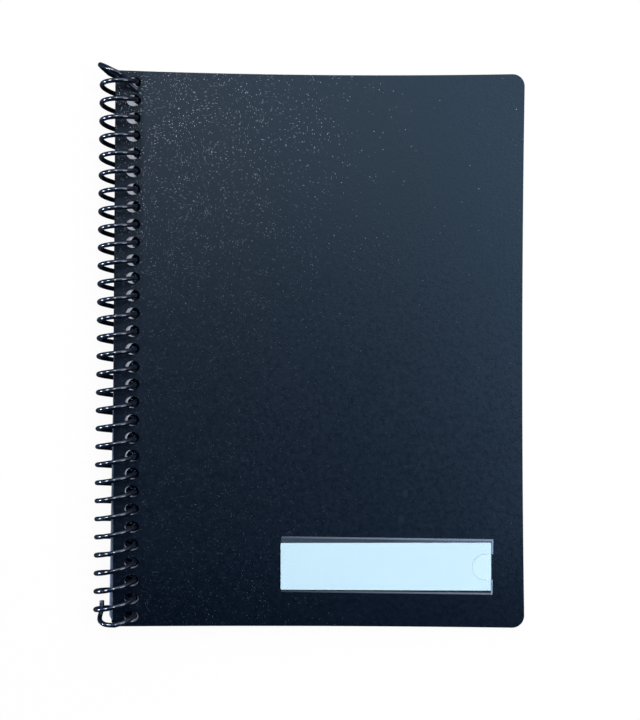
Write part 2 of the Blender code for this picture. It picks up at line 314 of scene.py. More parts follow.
def grainedBlackPaintedLight(name, withPaintedGlints):
    finish = coverFinish
    material, tree, shader = startMaterial(name, finish["tone"], finish["roughness"], finish["specular"])
    coords = addNode(tree, "TexCoord").outputs["Object"]
    place = addNode(tree, "SeparateXYZ", {"Vector": coords})
    x, y = place.outputs["X"], place.outputs["Y"]
    # the specular tint is a painted sheen set by place, dulled by painted shade beside the coil and along the
    # bottom
    toFore = mapRange(tree, x, *finish["paintedSheenForeRun"])
    sheen = mixColours(tree, toFore, finish["spinePaintedSheen"], finish["forePaintedSheen"])
    sheen = mixColours(tree, mapRange(tree, y, *finish["paintedSheenLowRun"]), sheen, finish["lowPaintedSheen"])
    beside = mapRange(tree, x, *finish["paintedShadeStrip"], smooth=True)
    upper = mapRange(tree, y, *finish["paintedShadeSpineRun"], 0.0, finish["paintedShadeSpineTop"])
    low = mapRange(tree, y, *finish["paintedShadeBottomRun"], 0.0, finish["paintedShadeBottomEdge"], smooth=True)
    paintedShade = mathNode(tree, "MAXIMUM", mathNode(tree, "MULTIPLY", beside, upper), low)
    sheen = mixColours(tree, paintedShade, sheen, (0.0, 0.0, 0.0))
    tree.links.new(sheen, shader.inputs["Specular Tint"])
    grain = addNode(tree, "TexVoronoi", {"Vector": coords, "Scale": 1 / finish["grainSize"]},
                    feature="SMOOTH_F1")
    pebble = addNode(tree, "TexNoise", {"Vector": coords, "Scale": 1 / finish["pebbleSize"], "Detail": 4.0})
    height = mathNode(tree, "ADD", grain.outputs["Distance"], pebble.outputs["Fac"])
    bump = addNode(tree, "Bump", {"Height": height, "Strength": finish["grainStrength"],
                                  "Distance": finish["grainDepth"]})
    tree.links.new(bump.outputs["Normal"], shader.inputs["Normal"])
    cloud = addNode(tree, "TexNoise", {"Vector": coords, "Scale": finish["cloudScale"],
                                       "Detail": 3.0, "Roughness": 0.6})
    share = mapRange(tree, cloud.outputs["Fac"], *finish["cloudSpread"])
    colour = mixColours(tree, share, finish["tone"], finish["paleTone"])
    if withPaintedGlints:
        colour = smudge(tree, coords, paintedGlints(tree, coords, colour, finish), finish)
    tree.links.new(colour, shader.inputs["Base Color"])
    limits = [finish["roughness"] + change for change in finish["roughSpread"]]
    rough = mapRange(tree, pebble.outputs["Fac"], *finish["pebbleSpread"], *limits)
    tree.links.new(rough, shader.inputs["Roughness"])
    return material


def paintedGlints(tree, coords, under, finish):
    # painted glints: small light flecks painted into the base colour, many by the spine, few by the fore edge,
    # brightest at the top
    cells = addNode(tree, "TexVoronoi", {"Vector": coords, "Scale": 1 / finish["paintedGlintCell"]},
                    voronoi_dimensions="2D")
    dot = mapRange(tree, cells.outputs["Distance"], *finish["paintedGlintEdge"], 1.0, 0.0)
    chance = addNode(tree, "SeparateColor", {"Color": cells.outputs["Color"]})
    parts = addNode(tree, "SeparateXYZ", {"Vector": coords})
    near = mapRange(tree, parts.outputs["X"], *finish["paintedGlintThickRun"], 1.0, finish["paintedGlintLeast"])
    near = mathNode(tree, "POWER", near, finish["paintedGlintThinning"])
    patches = addNode(tree, "TexNoise", {"Vector": coords, "Scale": finish["patchScale"], "Detail": 2.0})
    thick = mapRange(tree, patches.outputs["Fac"], *finish["patchSpread"], *finish["patchShare"])
    share = mathNode(tree, "MULTIPLY", mathNode(tree, "MULTIPLY", near, thick), finish["paintedGlintShare"])
    chosen = mathNode(tree, "LESS_THAN", chance.outputs["Red"], share)
    height = mapRange(tree, parts.outputs["Y"], *finish["paintedGlintHeightRun"])
    glow = mathNode(tree, "POWER", height, finish["paintedGlintHeightFall"])
    glow = mapRange(tree, glow, 0.0, 1.0, *finish["paintedGlintStrength"])
    draw = mathNode(tree, "MAXIMUM", chance.outputs["Green"], finish["leastDraw"])
    spread = mathNode(tree, "LOGARITHM", draw, math.e)
    strength = mathNode(tree, "MULTIPLY", mathNode(tree, "MULTIPLY", spread, -1.0), glow)
    amount = mathNode(tree, "MULTIPLY", mathNode(tree, "MULTIPLY", dot, chosen), strength, clamp=True)
    colour = mixColours(tree, height, finish["lowPaintedGlintColour"], finish["paintedGlintColour"])
    return mixColours(tree, amount, under, colour)


def smudge(tree, coords, under, finish):
    # two faint oval marks left by handling
    wide, high = finish["smudgeSize"]
    colour = under
    for x, y in finish["smudges"]:
        spot = addNode(tree, "Mapping", {"Vector": coords, "Location": (-x / wide, -y / high, 0.0),
                                         "Scale": (1 / wide, 1 / high, 0.0)})
        reach = addNode(tree, "VectorMath", {0: spot.outputs[0]}, operation="LENGTH").outputs["Value"]
        share = mapRange(tree, reach, *finish["smudgeEdge"], finish["smudgeShare"], 0.0, smooth=True)
        colour = mixColours(tree, share, colour, finish["smudgeTone"])
    return colour


coilFinish = {
    "tone": (0.0018, 0.0026, 0.0045),
    "sheen": (0.45, 0.66, 1.0),
    "specular": 0.32,
    "roughness": (0.30, 0.40),
    "skin": 1.5,                # refractive index of the glossy skin
    "skinRoughness": 0.05,
    "drawnScale": 420.0,        # faint unevenness of the drawn wire
    "drawnSpread": (0.3, 0.7),
    "drawnStrength": 0.05,
    "drawnDepth": 0.05 * mm,
}


def glossBlack():
    finish = coilFinish
    material, tree, shader = startMaterial("coilGloss", finish["tone"], finish["roughness"][0],
                                           finish["specular"])
    shader.inputs["Specular Tint"].default_value = (*finish["sheen"], 1.0)
    shader.inputs["Coat Weight"].default_value = 1.0
    shader.inputs["Coat IOR"].default_value = finish["skin"]
    shader.inputs["Coat Roughness"].default_value = finish["skinRoughness"]
    shader.inputs["Coat Tint"].default_value = (*finish["sheen"], 1.0)
    coords = addNode(tree, "TexCoord").outputs["Object"]
    drawn = addNode(tree, "TexNoise", {"Vector": coords, "Scale": finish["drawnScale"], "Detail": 2.0})
    rough = mapRange(tree, drawn.outputs["Fac"], *finish["drawnSpread"], *finish["roughness"])
    tree.links.new(rough, shader.inputs["Roughness"])
    bump = addNode(tree, "Bump", {"Height": drawn.outputs["Fac"], "Strength": finish["drawnStrength"],
                                  "Distance": finish["drawnDepth"]})
    tree.links.new(bump.outputs["Normal"], shader.inputs["Normal"])
    return material


filmFinish = {
    "hazeScale": 60.0,
    "hazeSpread": (0.3, 0.7),
    "hazeStrength": 0.1,
    "hazeDepth": 0.2 * mm,
    "sleeveTint": (0.76, 0.81, 0.90),
    "sleeveRoughness": 0.18,
    "sleeveHaze": (0.94, 1.06),
    "sleeveVeil": 0.022,
    "stripVeil": 0.55,
    "weldVeil": 0.30,
    "spineEdgeTint": (0.32, 0.43, 0.66),
    "spineEdge": (-6.3 * mm, -5.6 * mm),
    "pocketTint": (0.34, 0.48, 0.72),
    "pocketRoughness": 0.15,
    "pocketHaze": (0.85, 1.15),
    "backingHaze": (0.8, 1.2),
    "clearVeil": 0.012,
    "paintedReflectionAboveCard": (0.045, 0.16),             # haze with a painted reflection: veil above the card, from the middle to the open end
    "cardEdge": 0.1 * mm,
    "endVeil": 0.6,                         # veil past the card's open end
    "endEdge": (-0.1 * mm, 0.2 * mm),
    "lipVeil": 0.13,                        # veil along the thumb notch
    "lipEdge": (0.1 * mm, 0.3 * mm),
    "edgeTint": (0.52, 0.62, 0.80),
    "edgeRoughness": 0.2,
    "edgeMiddle": 1.0 * mm,                 # above this, the weld is the upper one
    "paintedHighlightUpperWeld": (0.07, 0.3),               # veil of a weld's painted highlight, at the closed end and at the open one
    "paintedHighlightLowerWeld": (0.03, 0.2),
    "upperStart": 0.3 * mm,
    "edgeFade": (0.25 * mm, 0.4 * mm),
}


def filmBase(name, tint, roughness):
    # clear film: a share of pale haze, and the rest is see-through
    material, tree, shader = startMaterial(name, tint, roughness)
    coords = addNode(tree, "TexCoord").outputs["Object"]
    haze = addNode(tree, "TexNoise", {"Vector": coords, "Scale": filmFinish["hazeScale"], "Detail": 3.0})
    bump = addNode(tree, "Bump", {"Height": haze.outputs["Fac"], "Strength": filmFinish["hazeStrength"],
                                  "Distance": filmFinish["hazeDepth"]})
    tree.links.new(bump.outputs["Normal"], shader.inputs["Normal"])
    return material, tree, shader, coords, haze.outputs["Fac"]


def hazed(tree, haze, veil, limits):
    # a veil that the haze makes a little uneven
    return mathNode(tree, "MULTIPLY", veil, mapRange(tree, haze, *filmFinish["hazeSpread"], *limits))


def sleeveFilm(plan, weld):
    # clear, with a hazy strip round the holes, pale welds on three sides and a grey spine edge
    finish = filmFinish
    material, tree, shader, coords, haze = filmBase("sleeveFilm", finish["sleeveTint"],
                                                    finish["sleeveRoughness"])
    parts = addNode(tree, "SeparateXYZ", {"Vector": coords})
    x, y = parts.outputs["X"], parts.outputs["Y"]
    strip = mapRange(tree, x, plan["left"], plan["left"] - weld, 0.0, finish["stripVeil"])
    spineWeld = mathNode(tree, "COMPARE", x, plan["left"] + weld / 2, weld / 2)
    foreWeld = mathNode(tree, "GREATER_THAN", x, plan["right"] - weld)
    lowWeld = mathNode(tree, "LESS_THAN", y, plan["bottom"] + weld)
    welds = mathNode(tree, "MAXIMUM", mathNode(tree, "MAXIMUM", spineWeld, foreWeld), lowWeld)
    veil = mathNode(tree, "MAXIMUM", strip, mathNode(tree, "MULTIPLY", welds, finish["weldVeil"]))
    veil = mathNode(tree, "MAXIMUM", veil, finish["sleeveVeil"])
    tree.links.new(hazed(tree, haze, veil, finish["sleeveHaze"]), shader.inputs["Alpha"])
    inside = mapRange(tree, x, *finish["spineEdge"])
    colour = mixColours(tree, inside, finish["spineEdgeTint"], finish["sleeveTint"])
    tree.links.new(colour, shader.inputs["Base Color"])
    return material


def pocketPanelFilm(card, cardWidth, cardHeight, notch, notchRadius):
    # hazier where the film comes down beside the card, a haze with a painted reflection that grows towards the
    # open end, and along the edge of the thumb notch
    finish = filmFinish
    material, tree, shader, coords, haze = filmBase("pocketFilm", finish["pocketTint"],
                                                    finish["pocketRoughness"])
    parts = addNode(tree, "SeparateXYZ", {"Vector": coords})
    x, y = parts.outputs["X"], parts.outputs["Y"]
    right = card.translation.x + cardWidth / 2
    slope = card.col[0].y / card.col[0].x
    over = mathNode(tree, "SUBTRACT", y, mathNode(tree, "MULTIPLY", x, slope))
    cardTop = card.translation.y - slope * card.translation.x + cardHeight / 2
    above = mapRange(tree, over, cardTop - finish["cardEdge"], cardTop + finish["cardEdge"])
    strip = mathNode(tree, "MULTIPLY", above, mapRange(tree, x, 0.0, right, *finish["paintedReflectionAboveCard"]))
    endStart, endFull = finish["endEdge"]
    end = mapRange(tree, x, right + endStart, right + endFull, 0.0, finish["endVeil"])
    fromNotch = addNode(tree, "VectorMath", {0: coords, 1: (*notch, 0.0)}, operation="DISTANCE")
    offEdge = mathNode(tree, "SUBTRACT", fromNotch.outputs["Value"], notchRadius)
    lip = mapRange(tree, mathNode(tree, "ABSOLUTE", offEdge), *finish["lipEdge"], finish["lipVeil"], 0.0)
    veil = finish["clearVeil"]
    for part in (strip, end, lip):
        veil = mathNode(tree, "MAXIMUM", part, veil)
    tree.links.new(hazed(tree, haze, veil, finish["pocketHaze"]), shader.inputs["Alpha"])
    return material


def pocketBackFilm():
    finish = filmFinish
    material, tree, shader, _, haze = filmBase("pocketBackFilm", finish["pocketTint"],
                                               finish["pocketRoughness"])
    limits = [finish["clearVeil"] * share for share in finish["backingHaze"]]
    tree.links.new(mapRange(tree, haze, *finish["hazeSpread"], *limits), shader.inputs["Alpha"])
    return material


def pocketEdgeFilm(reach):
    # the weld shows as a pale line along the top, a painted highlight that fades along the bottom and at the
    # closed end
    finish = filmFinish
    material, tree, shader, coords, _ = filmBase("pocketWeld", finish["edgeTint"], finish["edgeRoughness"])
    parts = addNode(tree, "SeparateXYZ", {"Vector": coords})
    x = parts.outputs["X"]
    top = mapRange(tree, parts.outputs["Y"], 0.0, finish["edgeMiddle"])
    upper = mapRange(tree, x, -reach + finish["upperStart"], reach, *finish["paintedHighlightUpperWeld"])
    lower = mapRange(tree, x, -reach, reach, *finish["paintedHighlightLowerWeld"])
    veil = mathNode(tree, "ADD", mathNode(tree, "MULTIPLY", top, upper),
                    mathNode(tree, "MULTIPLY", mathNode(tree, "SUBTRACT", 1.0, top), lower))
    inside = mapRange(tree, x, *(-reach + fade for fade in finish["edgeFade"]))
    tree.links.new(mathNode(tree, "MULTIPLY", veil, inside), shader.inputs["Alpha"])
    return material


cardFinish = {
    "tone": (0.595, 0.835, 0.975),
    "paleTone": (0.615, 0.86, 1.0),
    "roughness": 0.6,
    "specular": 0.25,
    "fibreScale": 2500.0,
    "fibreShare": 0.4,
    "fibreStrength": 0.06,
    "fibreDepth": 0.02 * mm,
    "cloudScale": 45.0,
    "cloudShare": 0.6,
    "spread": (0.35, 0.65),
}


def paleCard():
    finish = cardFinish
    material, tree, shader = startMaterial("paleCard", finish["tone"], finish["roughness"],
                                           finish["specular"])
    coords = addNode(tree, "TexCoord").outputs["Object"]
    fibres = addNode(tree, "TexNoise", {"Vector": coords, "Scale": finish["fibreScale"], "Detail": 3.0})
    cloud = addNode(tree, "TexNoise", {"Vector": coords, "Scale": finish["cloudScale"], "Detail": 2.0})
    share = mathNode(tree, "ADD", mathNode(tree, "MULTIPLY", fibres.outputs["Fac"], finish["fibreShare"]),
                     mathNode(tree, "MULTIPLY", cloud.outputs["Fac"], finish["cloudShare"]))
    share = mapRange(tree, share, *finish["spread"])
    colour = mixColours(tree, share, finish["tone"], finish["paleTone"])
    tree.links.new(colour, shader.inputs["Base Color"])
    bump = addNode(tree, "Bump", {"Height": fibres.outputs["Fac"], "Strength": finish["fibreStrength"],
                                  "Distance": finish["fibreDepth"]})
    tree.links.new(bump.outputs["Normal"], shader.inputs["Normal"])
    return material


frontBlack = grainedBlackPaintedLight("coverGrainPaintedLightFront", withPaintedGlints=True)
backBlack = grainedBlackPaintedLight("coverGrainPaintedSheenBack", withPaintedGlints=False)
coilBlack = glossBlack()
cardPaper = paleCard()
print("materials ready")

# covers

coverShape = {
    "foreRadius": 4.5 * mm,
    "spineRadius": 0.25 * mm,
    "edgeRound": 0.14 * mm,
    "holeSides": 40,
    "frontRise": (0.7 * mm, 0.75 * mm, 0.3 * mm),      # of the holes, at the top, middle and bottom
    "backRise": (0.35 * mm, 0.33 * mm, -0.40 * mm),
    "edgeStep": 6.0 * mm,                              # usual length of a straight step along an edge
    "topDip": 1.05 * mm,                               # what the top edge draws in between corners
    "lowDip": 0.4 * mm,                                # and the bottom edge
    "foreReach": (0.6 * mm, 0.15 * mm, 1.35 * mm),     # the fore edge, at its top, middle and bottom
    "lowCorner": 0.5 * mm,                             # how far the lower fore corner hangs down
}


def throughThree(top, middle, bottom, share):
    # a smooth run through three values, where share goes from 1 at the top to -1 at the bottom
    return middle + share * (top - bottom) / 2 + share**2 * ((top + bottom) / 2 - middle)


def hollowed(rim, plan):
    # the edges of a sheet draw in between its corners, and its lower fore corner stands out
    shape = coverShape
    points = []
    for (x, y), (nextX, nextY) in zip(rim, rim[1:] + rim[:1]):
        steps = max(1, int(math.hypot(nextX - x, nextY - y) / shape["edgeStep"]))
        points += [(x + (nextX - x) * i / steps, y + (nextY - y) * i / steps) for i in range(steps)]
    drawn = []
    for x, y in points:
        across = (x - plan["left"]) / (plan["right"] - plan["left"])
        up = (2 * y - plan["top"] - plan["bottom"]) / (plan["top"] - plan["bottom"])
        dip = -shape["topDip"] * up if up > 0 else -shape["lowDip"] * up
        sag = shape["lowCorner"] * across * max(0.0, -up)
        drawn.append((x + across * throughThree(*shape["foreReach"], up),
                      y + 4 * across * (1 - across) * dip - sag))
    return drawn


def makeCover(name, node, body, material, shares, holeRise):
    plan = sheetPlan(node)

    def rise(share):
        return 0.0, throughThree(*holeRise, share)

    rim = roundedRectangle(plan["left"], plan["bottom"], plan["right"], plan["top"],
                           coverShape["foreRadius"], coverShape["spineRadius"])
    outlines = [hollowed(rim, plan)] + punchedHoles(plan, coverShape["holeSides"], shares, rise)
    cover = flatPiece(name, plan["place"], outlines, plan["thickness"],
                      coverShape["edgeRound"], material)
    settle(cover, body, "cover", node)
    return plan


frontPlan = makeCover("frontCover", "front_cover", "front_leaf", frontBlack,
                      punch["cover"], coverShape["frontRise"])
makeCover("backCover", "back_cover", "back_leaf", backBlack,
          punch["backCover"], coverShape["backRise"])
print("covers made")

# sleeves

sleeveShape = {
    "cornerRadius": 3.5 * mm,
    "weldedCorner": 0.2 * mm,                        # of a front film, beside the holes
    "edgeRound": 0.02 * mm,
    "holeSides": 32,
    "firstSide": (1.25 * mm, 0.8 * mm, -0.5 * mm),   # holes away from the spine: top, middle, bottom
    "lastSide": (0.5 * mm, 0.3 * mm, -0.35 * mm),
    "firstRise": (1.4 * mm, 0.55 * mm, 0.1 * mm),    # and up along it
    "lastRise": (1.35 * mm, 0.5 * mm, 0.1 * mm),
    "weld": 1.2 * mm,
    "edgeSlip": 0.45 * mm,                           # how far the spine edge stands out at the bottom
}

firstFilm = sheetPlan("sleeve_1_front_film", like=sheetPlan("sleeve_1_rear_film"))
sleeveClear = sleeveFilm(firstFilm, sleeveShape["weld"])


def slipEdge(outline, plan):
    # the lower half of the spine edge stands out, more towards the bottom
    slip = sleeveShape["edgeSlip"]
    return [(x - slip * max(0.0, y / plan["bottom"]), y) if x < 0 else (x, y) for x, y in outline]


def sleeveHoleShift(number, share):
    # from the first sleeve's shift to the last one's
    depth = (number - 1) / (sleeveCount - 1)
    shift = []
    for first, last in (("firstSide", "lastSide"), ("firstRise", "lastRise")):
        front = throughThree(*sleeveShape[first], share)
        rear = throughThree(*sleeveShape[last], share)
        shift.append((1 - depth) * front + depth * rear)
    return shift


def makeSleeve(number):
    body = f"sleeve_{number}"
    rearPlan = sheetPlan(f"{body}_rear_film")
    frontFilm = sheetPlan(f"{body}_front_film", like=rearPlan)
    radius = sleeveShape["cornerRadius"]

    def creep(share):
        return sleeveHoleShift(number, share)

    for side, plan in (("Rear", rearPlan), ("Front", frontFilm)):
        spineRadius = radius if side == "Rear" else sleeveShape["weldedCorner"]
        rim = roundedRectangle(plan["left"], plan["bottom"], plan["right"], plan["top"],
                               radius, spineRadius)
        rim = slipEdge(hollowed(rim, frontPlan), plan)
        outlines = [rim] + punchedHoles(plan, sleeveShape["holeSides"], punch["sleeve"], creep)
        film = flatPiece(f"sleeve{number}{side}Film", plan["place"], outlines, plan["thickness"],
                         sleeveShape["edgeRound"], sleeveClear)
        settle(film, body, "sleeve_film", f"{body}_{side.lower()}_film")


for number in range(1, sleeveCount + 1):
    makeSleeve(number)
print("sleeves made:", sleeveCount)

# coil

coilShape = {
    "wire": 1.7 * mm,
    "radius": 6.25 * mm,
    "turnPoints": 40,
    "tailSteps": 8,                      # points from one key of a tail to the next
    "wireRounds": 5,
    "readReach": 60 * mm,                # the CAD turns are read this far from the middle
    "firstRise": 0.8 * mm,               # the first turn is the nearest to this far above the top hole
    "pull": 0.5 * mm,                    # how far the leaves draw the inner side of a turn with them
    "stretch": (0.3 * mm, -0.2 * mm),    # up the spine, at the top hole and at the bottom hole
    "lean": (1.6 * mm, -1.2 * mm),       # the outer side of a turn, up the spine
    "tuck": (0.5 * mm, -0.5 * mm),       # the outer side of a turn, towards the leaves
    "bow": (0.0, 0.45 * mm),             # the front of a turn down the spine and its rear up
    "bodyStart": math.radians(-135),
    "bodyEnd": math.radians(85),
    # keys of the bent ends, in mm from the middle of the coil's axis
    "topTail": ((-6.45, 100.35, 0.0), (-5.0, 99.55, 3.1), (-2.95, 98.35, 5.1), (-1.5, 97.5, 5.75)),
    "tuckedEnd": ((-1.5, 97.5, 5.75), (0.87, 96.45, 5.45), (2.12, 95.7, 4.45), (3.15, 94.5, 3.25),
                  (4.77, 92.8, 2.3), (6.8, 91.2, 1.75)),
    "bottomTail": ((-2.6, -97.0, 4.9), (-4.7, -96.4, 2.2), (-5.3, -95.5, 0.0), (-5.15, -94.2, -1.2),
                   (-4.9, -92.9, -1.95), (-5.05, -91.5, -2.9), (-5.15, -90.2, -3.5)),
}

wireOnly = bpy.data.collections.new("wireOnly")      # what the small lamps shine on


def wirePhase(pitch):
    # where the CAD wire passes angle 0, read from its turns
    points = np.array([v.co for v in frame["nodes"]["spiral_coil"].data.vertices])
    points = points - np.array(coilAxis)
    points = points[np.abs(points[:, 1]) < coilShape["readReach"]]
    turns = points[:, 1] / pitch + np.arctan2(points[:, 2], points[:, 0]) / (2 * math.pi)
    turns = turns * 2 * math.pi
    return math.atan2(np.sin(turns).mean(), np.cos(turns).mean()) / (2 * math.pi) * pitch


holeTop = frontPlan["middle"][1] + frontPlan["holes"][0]
pitch = (frontPlan["holes"][0] - frontPlan["holes"][-1]) / (len(frontPlan["holes"]) - 1)
phase = wirePhase(pitch)
firstWire = phase + round((holeTop + coilShape["firstRise"] - phase) / pitch) * pitch
lastAngle = 2 * math.pi * (len(frontPlan["holes"]) - 1)


def wirePoint(angle):
    # a point of the helix, which passes the top hole at angle 0
    shape = coilShape
    y = firstWire - pitch * angle / (2 * math.pi)
    share = angle / lastAngle
    stretch, lean, tuck, bow = (a + share * (b - a) for a, b in (
        shape["stretch"], shape["lean"], shape["tuck"], shape["bow"]))
    out = (1 - math.cos(angle)) / 2
    x = shape["radius"] * math.cos(angle) + out * tuck + (1 - out) * shape["pull"]
    z = shape["radius"] * math.sin(angle)
    return coilAxis + Vector((x, y + stretch + out * lean - bow * math.sin(angle), z))


def tailPoints(places):
    return [coilAxis + Vector(place) * mm for place in places]


def smoothRoute(keys):
    # a smooth curve through the keys, from the second one to the last but one
    keys = [np.array(key) for key in keys]
    route = []
    for a, b, c, d in zip(keys, keys[1:], keys[2:], keys[3:]):
        for t in np.linspace(0, 1, coilShape["tailSteps"], endpoint=False):
            route.append(0.5 * (2 * b + (c - a) * t + (2 * a - 5 * b + 4 * c - d) * t**2
                                + (3 * b - a - 3 * c + d) * t**3))
    route.append(keys[-2])
    return route


def beyond(before, end):
    # a guide key past the end of a route
    return 2 * Vector(end) - Vector(before)


def wirePiece(name, points, body, *nodes):
    curve = bpy.data.curves.new(name, "CURVE")
    curve.dimensions = "3D"
    curve.bevel_depth = coilShape["wire"] / 2
    curve.bevel_resolution = coilShape["wireRounds"]
    curve.use_fill_caps = True
    spline = curve.splines.new("POLY")
    spline.points.add(len(points) - 1)
    for point, place in zip(spline.points, points):
        point.co = (*place, 1.0)
    spline.use_smooth = True
    curve.materials.append(coilBlack)
    wire = bpy.data.objects.new(name, curve)
    bpy.context.scene.collection.objects.link(wire)
    wireOnly.objects.link(wire)
    settle(wire, body, "coil", *nodes)


def makeCoil():
    step = 2 * math.pi / coilShape["turnPoints"]
    angles = np.arange(coilShape["bodyStart"], lastAngle + coilShape["bodyEnd"], step)
    body = [wirePoint(angle) for angle in angles]
    top = tailPoints(coilShape["topTail"])[::-1]
    bottom = tailPoints(coilShape["bottomTail"])
    topRoute = smoothRoute([beyond(top[1], top[0])] + top + body[:2])
    bottomRoute = smoothRoute(body[-2:] + bottom + [beyond(bottom[-2], bottom[-1])])
    wirePiece("spiralCoil", topRoute + body[1:-1] + bottomRoute, "coil", "spiral_coil")
    tucked = tailPoints(coilShape["tuckedEnd"])
    tuckedRoute = smoothRoute([top[1]] + tucked + [beyond(tucked[-2], tucked[-1])])
    wirePiece("coilTuckedEnd", tuckedRoute, "coil")
    print("coil made:", len(body), "points and two tails")


makeCoil()

# name pocket

pocketShape = {
    "film": 0.15 * mm,
    "seam": 0.6 * mm,
    "endSeam": 0.3 * mm,
    "notchWidth": 9.0 * mm,
    "notchDepth": 7.2 * mm,
    "notchSteps": 20,
    "cornerRadius": 0.5 * mm,
    "cornerSteps": 6,
    "edgeRound": 0.03 * mm,
    "seat": (0.3 * mm, 0.75 * mm),          # along and up the cover from the CAD slabs
    "cardSeat": (-0.05 * mm, 0.35 * mm),
    "cardSpare": 0.5 * mm,                  # wider than the CAD card
    "cardCorner": 0.3 * mm,
    "cardCornerSteps": 4,
    "cardRise": (0.4 * mm, -0.15 * mm),     # of its lower edge, at the closed end and at the notch
}


def slabPlan(nodeName, along, seat):
    # a straight slab's place and size, with x along the pocket and z off the cover
    across = leafUp.cross(along).normalized()
    axes = Matrix((along, across, along.cross(across))).transposed()
    points = np.array([v.co for v in frame["nodes"][nodeName].data.vertices]) @ np.array(axes)
    low, high = points.min(0), points.max(0)
    middle = Vector((low + high) / 2) + Vector((*seat, 0.0))
    place = Matrix.Translation(axes @ middle) @ axes.to_4x4()
    return place, high - low


def cardDirection():
    outline = rimLoops("name_card")[0][0]
    sides = [Vector(b - a) for a, b in zip(outline, np.roll(outline, -1, axis=0))]
    longest = max(sides, key=lambda side: side.length)
    return (spinePlace.to_3x3() @ (longest if longest.x > 0 else -longest)).normalized()


def makeBacking(place, x, y, depth):
    shape = pocketShape
    rim = roundedRectangle(-x, -y, x, y, shape["cornerRadius"], shape["cornerRadius"], shape["cornerSteps"])
    backing = flatPiece("pocketBacking", place, [rim], depth, shape["edgeRound"], pocketBackFilm())
    settle(backing, "front_leaf", "pocket_film", "pocket_backing")


def cardOutline(width, height):
    # the lower edge is cut a little askew
    shape = pocketShape
    corners = roundedRectangle(-width / 2, -height / 2, width / 2, height / 2,
                               shape["cardCorner"], shape["cardCorner"], shape["cardCornerSteps"])
    closedEnd, openEnd = shape["cardRise"]
    outline = []
    for x, y in corners:
        rise = closedEnd + (openEnd - closedEnd) * (x / width + 0.5)
        outline.append((x, y + rise) if y < 0 else (x, y))
    return outline


def makeCard(place, width, height, depth):
    outline = cardOutline(width, height)
    card = flatPiece("nameCard", place, [outline], depth, pocketShape["edgeRound"], cardPaper)
    settle(card, "card", "card", "name_card")


def makePanel(place, x, y, depth, notchMiddle, notchRadius, film):
    # the clear top of the window, with the thumb notch in its open end
    shape = pocketShape
    corner, steps = shape["cornerRadius"], shape["cornerSteps"]
    rim = arcPoints((-x + corner, y - corner), corner, 90, 180, steps)
    rim += arcPoints((-x + corner, -y + corner), corner, 180, 270, steps)
    rim += arcPoints((x - corner, -y + corner), corner, 270, 360, steps)
    rim += [(x, -notchRadius)] + arcPoints(notchMiddle, notchRadius, 270, 90, shape["notchSteps"])
    rim += [(x, notchRadius)] + arcPoints((x - corner, y - corner), corner, 0, 90, steps)
    lift = Matrix.Translation((0, 0, (depth - shape["film"]) / 2))
    panel = flatPiece("pocketPanel", place @ lift, [rim], shape["film"], shape["edgeRound"], film)
    settle(panel, "front_leaf", "pocket_film", "pocket_window")


def makeWeld(place, x, y, depth, film):
    # the wall under the panel on three sides, open at the notch
    shape = pocketShape
    seam, endSeam = shape["seam"], shape["endSeam"]
    outline = [(x, y), (-x, y), (-x, -y), (x, -y), (x, -y + seam), (-x + endSeam, -y + seam),
               (-x + endSeam, y - seam), (x, y - seam)]
    sink = Matrix.Translation((0, 0, -shape["film"] / 2))
    weld = flatPiece("pocketWeld", place @ sink, [outline], depth - shape["film"], shape["edgeRound"], film)
    settle(weld, "front_leaf", "pocket_film", "pocket_window")


def makePocket():
    shape = pocketShape
    slide = next(j for j in frame["joints"] if j["name"] == "name_card_slide")
    along = Vector(slide["axis"]).normalized()
    backPlace, (width, height, backDepth) = slabPlan("pocket_backing", along, shape["seat"])
    windowPlace, windowSize = slabPlan("pocket_window", along, shape["seat"])
    cardPlace, cardSize = slabPlan("name_card", cardDirection(), shape["cardSeat"])
    cardWidth, cardHeight, cardDepth = cardSize
    cardWidth += shape["cardSpare"]
    x, y = width / 2, height / 2
    notchRadius = shape["notchWidth"] / 2
    notchMiddle = (x - shape["notchDepth"] + notchRadius, 0.0)
    cardSpot = backPlace.inverted() @ cardPlace
    panelFilm = pocketPanelFilm(cardSpot, cardWidth, cardHeight, notchMiddle, notchRadius)
    weldFilm = pocketEdgeFilm(x)
    makeBacking(backPlace, x, y, backDepth)
    makeCard(cardPlace, cardWidth, cardHeight, cardDepth)
    makePanel(windowPlace, x, y, windowSize[2], notchMiddle, notchRadius, panelFilm)
    makeWeld(windowPlace, x, y, windowSize[2], weldFilm)


makePocket()
print("name pocket made")

# floor, light and camera

studio = {
    "cameraHeight": 466.5 * mm,
    "cameraOver": (4.06 * mm, -3.65 * mm),
    "cameraRoll": math.radians(0.41),
    "lens": 64.75,
    "nearest": 0.01,                        # what the camera sees starts here
    "floorSize": 6.0,
    "floorDrop": 0.1 * mm,
    "floorWhite": 0.95,
    "tableTone": (0.07, 0.08, 0.10),        # the floor, as the folder sees it
    "paintedShadeTone": (0.01, 0.01, 0.012),       # and right under the back cover, painted dark as shade
    "paintedShadeMargin": 0.8 * mm,
    "skyTint": (0.94, 0.97, 1.0),
    "skySlope": (0.5, 0.8),                 # brighter towards the fore edge and the top
    "skyRun": (-0.1, 0.9),
    "skyLight": (0.03, 0.5),
}

white = (1.0, 1.0, 1.0)
coilSide = (-0.07, 0.0, 0.0)      # what the wire's own lamps point at

